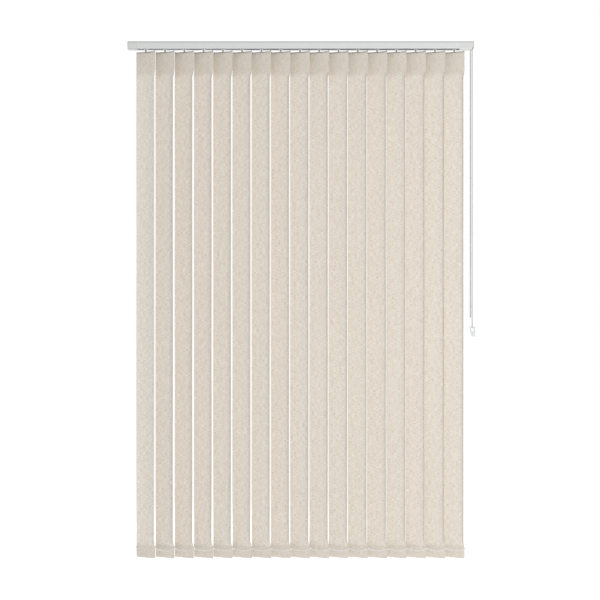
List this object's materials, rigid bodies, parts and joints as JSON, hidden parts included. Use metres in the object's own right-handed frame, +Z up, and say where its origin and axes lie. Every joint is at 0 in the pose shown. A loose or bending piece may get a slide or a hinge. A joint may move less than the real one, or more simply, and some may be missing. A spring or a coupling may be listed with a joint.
{
  "type": "vertical blind",
  "caption": "Vertical blind with a slotted headrail, travelling carriers, hanging fabric vanes, linked bottom chains, a bead chain and a weighted draw cord.",
  "frame": {"origin": "on the headrail's top face, midway between the first and last vane and above the stems", "axes": "+Z up, +X along the rail to the control end, -Y towards the room"},
  "size_m": [1.4389, 0.0512, 2.139],
  "materials": {
    "rail": "satin powder coat, pale grey",
    "cap": "moulded, pale grey, satin",
    "carrier": "moulded acetal, off-white",
    "hanger": "moulded, grey",
    "fabric": "slubbed plain weave, beige, stiffened",
    "rod": "extruded, mill finish",
    "chain": "moulded beads on thread, white",
    "control_chain": "moulded beads on thread, white",
    "cord": "braided polyester, white",
    "weight": "moulded, white"
  },
  "bodies": {
    "root": {"headrail": "rail", "end_cap": "cap", "control_end": "cap", "carrier_17": "carrier", "tilt_chain": "control_chain", "draw_cord": "cord", "cord_weight": "weight"},
    "carrier_body_01": {"carrier_01": "carrier"},
    "carrier_body_02": {"carrier_02": "carrier"},
    "carrier_body_03": {"carrier_03": "carrier"},
    "carrier_body_04": {"carrier_04": "carrier"},
    "carrier_body_05": {"carrier_05": "carrier"},
    "carrier_body_06": {"carrier_06": "carrier"},
    "carrier_body_07": {"carrier_07": "carrier"},
    "carrier_body_08": {"carrier_08": "carrier"},
    "carrier_body_09": {"carrier_09": "carrier"},
    "carrier_body_10": {"carrier_10": "carrier"},
    "carrier_body_11": {"carrier_11": "carrier"},
    "carrier_body_12": {"carrier_12": "carrier"},
    "carrier_body_13": {"carrier_13": "carrier"},
    "carrier_body_14": {"carrier_14": "carrier"},
    "carrier_body_15": {"carrier_15": "carrier"},
    "carrier_body_16": {"carrier_16": "carrier"},
    "vane_body_01": {"hanger_01": "hanger", "vane_01": "fabric"},
    "vane_body_02": {"hanger_02": "hanger", "vane_02": "fabric"},
    "vane_body_03": {"hanger_03": "hanger", "vane_03": "fabric"},
    "vane_body_04": {"hanger_04": "hanger", "vane_04": "fabric"},
    "vane_body_05": {"hanger_05": "hanger", "vane_05": "fabric"},
    "vane_body_06": {"hanger_06": "hanger", "vane_06": "fabric"},
    "vane_body_07": {"hanger_07": "hanger", "vane_07": "fabric"},
    "vane_body_08": {"hanger_08": "hanger", "vane_08": "fabric"},
    "vane_body_09": {"hanger_09": "hanger", "vane_09": "fabric"},
    "vane_body_10": {"hanger_10": "hanger", "vane_10": "fabric"},
    "vane_body_11": {"hanger_11": "hanger", "vane_11": "fabric"},
    "vane_body_12": {"hanger_12": "hanger", "vane_12": "fabric"},
    "vane_body_13": {"hanger_13": "hanger", "vane_13": "fabric"},
    "vane_body_14": {"hanger_14": "hanger", "vane_14": "fabric"},
    "vane_body_15": {"hanger_15": "hanger", "vane_15": "fabric"},
    "vane_body_16": {"hanger_16": "hanger", "vane_16": "fabric"},
    "vane_body_17": {"hanger_17": "hanger", "vane_17": "fabric"},
    "rod_body": {"tilt_rod": "rod"},
    "front_chain_body": {"front_chain": "chain"},
    "back_chain_body": {"back_chain": "chain"}
  },
  "joints": [
    {"name": "traverse", "type": "slide", "parent": "root", "child": "carrier_body_01", "axis": [1, 0, 0], "range_m": [0, 0.864], "deforming": ["front_chain", "back_chain"]},
    {"name": "traverse_02", "type": "slide", "parent": "root", "child": "carrier_body_02", "axis": [1, 0, 0], "range_m": [0, 0.81]},
    {"name": "traverse_03", "type": "slide", "parent": "root", "child": "carrier_body_03", "axis": [1, 0, 0], "range_m": [0, 0.756]},
    {"name": "traverse_04", "type": "slide", "parent": "root", "child": "carrier_body_04", "axis": [1, 0, 0], "range_m": [0, 0.702]},
    {"name": "traverse_05", "type": "slide", "parent": "root", "child": "carrier_body_05", "axis": [1, 0, 0], "range_m": [0, 0.648]},
    {"name": "traverse_06", "type": "slide", "parent": "root", "child": "carrier_body_06", "axis": [1, 0, 0], "range_m": [0, 0.594]},
    {"name": "traverse_07", "type": "slide", "parent": "root", "child": "carrier_body_07", "axis": [1, 0, 0], "range_m": [0, 0.54]},
    {"name": "traverse_08", "type": "slide", "parent": "root", "child": "carrier_body_08", "axis": [1, 0, 0], "range_m": [0, 0.486]},
    {"name": "traverse_09", "type": "slide", "parent": "root", "child": "carrier_body_09", "axis": [1, 0, 0], "range_m": [0, 0.432]},
    {"name": "traverse_10", "type": "slide", "parent": "root", "child": "carrier_body_10", "axis": [1, 0, 0], "range_m": [0, 0.378]},
    {"name": "traverse_11", "type": "slide", "parent": "root", "child": "carrier_body_11", "axis": [1, 0, 0], "range_m": [0, 0.324]},
    {"name": "traverse_12", "type": "slide", "parent": "root", "child": "carrier_body_12", "axis": [1, 0, 0], "range_m": [0, 0.27]},
    {"name": "traverse_13", "type": "slide", "parent": "root", "child": "carrier_body_13", "axis": [1, 0, 0], "range_m": [0, 0.216]},
    {"name": "traverse_14", "type": "slide", "parent": "root", "child": "carrier_body_14", "axis": [1, 0, 0], "range_m": [0, 0.162]},
    {"name": "traverse_15", "type": "slide", "parent": "root", "child": "carrier_body_15", "axis": [1, 0, 0], "range_m": [0, 0.108]},
    {"name": "traverse_16", "type": "slide", "parent": "root", "child": "carrier_body_16", "axis": [1, 0, 0], "range_m": [0, 0.054]},
    {"name": "tilt_01", "type": "hinge", "parent": "carrier_body_01", "child": "vane_body_01", "pos_m": [-0.64, 0, -0.02], "axis": [0, 0, 1], "range_deg": [-144.01, 16.01]},
    {"name": "tilt_02", "type": "hinge", "parent": "carrier_body_02", "child": "vane_body_02", "pos_m": [-0.56, 0, -0.02], "axis": [0, 0, 1], "range_deg": [-144.01, 16.01]},
    {"name": "tilt_03", "type": "hinge", "parent": "carrier_body_03", "child": "vane_body_03", "pos_m": [-0.48, 0, -0.02], "axis": [0, 0, 1], "range_deg": [-144.01, 16.01]},
    {"name": "tilt_04", "type": "hinge", "parent": "carrier_body_04", "child": "vane_body_04", "pos_m": [-0.4, 0, -0.02], "axis": [0, 0, 1], "range_deg": [-144.01, 16.01]},
    {"name": "tilt_05", "type": "hinge", "parent": "carrier_body_05", "child": "vane_body_05", "pos_m": [-0.32, 0, -0.02], "axis": [0, 0, 1], "range_deg": [-144.01, 16.01]},
    {"name": "tilt_06", "type": "hinge", "parent": "carrier_body_06", "child": "vane_body_06", "pos_m": [-0.24, 0, -0.02], "axis": [0, 0, 1], "range_deg": [-144.01, 16.01]},
    {"name": "tilt_07", "type": "hinge", "parent": "carrier_body_07", "child": "vane_body_07", "pos_m": [-0.16, 0, -0.02], "axis": [0, 0, 1], "range_deg": [-144.01, 16.01]},
    {"name": "tilt_08", "type": "hinge", "parent": "carrier_body_08", "child": "vane_body_08", "pos_m": [-0.08, 0, -0.02], "axis": [0, 0, 1], "range_deg": [-144.01, 16.01]},
    {"name": "tilt_09", "type": "hinge", "parent": "carrier_body_09", "child": "vane_body_09", "pos_m": [0, 0, -0.02], "axis": [0, 0, 1], "range_deg": [-144.01, 16.01]},
    {"name": "tilt_10", "type": "hinge", "parent": "carrier_body_10", "child": "vane_body_10", "pos_m": [0.08, 0, -0.02], "axis": [0, 0, 1], "range_deg": [-144.01, 16.01]},
    {"name": "tilt_11", "type": "hinge", "parent": "carrier_body_11", "child": "vane_body_11", "pos_m": [0.16, 0, -0.02], "axis": [0, 0, 1], "range_deg": [-144.01, 16.01]},
    {"name": "tilt_12", "type": "hinge", "parent": "carrier_body_12", "child": "vane_body_12", "pos_m": [0.24, 0, -0.02], "axis": [0, 0, 1], "range_deg": [-144.01, 16.01]},
    {"name": "tilt_13", "type": "hinge", "parent": "carrier_body_13", "child": "vane_body_13", "pos_m": [0.32, 0, -0.02], "axis": [0, 0, 1], "range_deg": [-144.01, 16.01]},
    {"name": "tilt_14", "type": "hinge", "parent": "carrier_body_14", "child": "vane_body_14", "pos_m": [0.4, 0, -0.02], "axis": [0, 0, 1], "range_deg": [-144.01, 16.01]},
    {"name": "tilt_15", "type": "hinge", "parent": "carrier_body_15", "child": "vane_body_15", "pos_m": [0.48, 0, -0.02], "axis": [0, 0, 1], "range_deg": [-144.01, 16.01]},
    {"name": "tilt_16", "type": "hinge", "parent": "carrier_body_16", "child": "vane_body_16", "pos_m": [0.56, 0, -0.02], "axis": [0, 0, 1], "range_deg": [-144.01, 16.01]},
    {"name": "tilt", "type": "hinge", "parent": "root", "child": "vane_body_17", "pos_m": [0.64, 0, -0.02], "axis": [0, 0, 1], "range_deg": [-144, 16], "deforming": ["front_chain", "back_chain"]},
    {"name": "rod_turn", "type": "hinge", "parent": "root", "child": "rod_body", "pos_m": [0, 0.009, -0.016], "axis": [1, 0, 0], "range_deg": [-864.1, 96.1]},
    {"name": "front_chain_swing", "type": "hinge", "parent": "vane_body_17", "child": "front_chain_body", "pos_m": [0.68351, -0.02256, -2.097], "axis": [0, 0, 1], "range_deg": [-16.01, 144.01]},
    {"name": "back_chain_swing", "type": "hinge", "parent": "vane_body_17", "child": "back_chain_body", "pos_m": [0.59649, 0.02256, -2.097], "axis": [0, 0, 1], "range_deg": [-16.01, 144.01]}
  ],
  "couplings": [
    {"joint": "traverse_02", "follows": "traverse", "ratio": 0.9375},
    {"joint": "traverse_03", "follows": "traverse", "ratio": 0.875},
    {"joint": "traverse_04", "follows": "traverse", "ratio": 0.8125},
    {"joint": "traverse_05", "follows": "traverse", "ratio": 0.75},
    {"joint": "traverse_06", "follows": "traverse", "ratio": 0.6875},
    {"joint": "traverse_07", "follows": "traverse", "ratio": 0.625},
    {"joint": "traverse_08", "follows": "traverse", "ratio": 0.5625},
    {"joint": "traverse_09", "follows": "traverse", "ratio": 0.5},
    {"joint": "traverse_10", "follows": "traverse", "ratio": 0.4375},
    {"joint": "traverse_11", "follows": "traverse", "ratio": 0.375},
    {"joint": "traverse_12", "follows": "traverse", "ratio": 0.3125},
    {"joint": "traverse_13", "follows": "traverse", "ratio": 0.25},
    {"joint": "traverse_14", "follows": "traverse", "ratio": 0.1875},
    {"joint": "traverse_15", "follows": "traverse", "ratio": 0.125},
    {"joint": "traverse_16", "follows": "traverse", "ratio": 0.0625},
    {"joint": "tilt_01", "follows": "tilt", "ratio": 1},
    {"joint": "tilt_02", "follows": "tilt", "ratio": 1},
    {"joint": "tilt_03", "follows": "tilt", "ratio": 1},
    {"joint": "tilt_04", "follows": "tilt", "ratio": 1},
    {"joint": "tilt_05", "follows": "tilt", "ratio": 1},
    {"joint": "tilt_06", "follows": "tilt", "ratio": 1},
    {"joint": "tilt_07", "follows": "tilt", "ratio": 1},
    {"joint": "tilt_08", "follows": "tilt", "ratio": 1},
    {"joint": "tilt_09", "follows": "tilt", "ratio": 1},
    {"joint": "tilt_10", "follows": "tilt", "ratio": 1},
    {"joint": "tilt_11", "follows": "tilt", "ratio": 1},
    {"joint": "tilt_12", "follows": "tilt", "ratio": 1},
    {"joint": "tilt_13", "follows": "tilt", "ratio": 1},
    {"joint": "tilt_14", "follows": "tilt", "ratio": 1},
    {"joint": "tilt_15", "follows": "tilt", "ratio": 1},
    {"joint": "tilt_16", "follows": "tilt", "ratio": 1},
    {"joint": "rod_turn", "follows": "tilt", "ratio": 6},
    {"joint": "front_chain_swing", "follows": "tilt", "ratio": -1},
    {"joint": "back_chain_swing", "follows": "tilt", "ratio": -1}
  ]
}
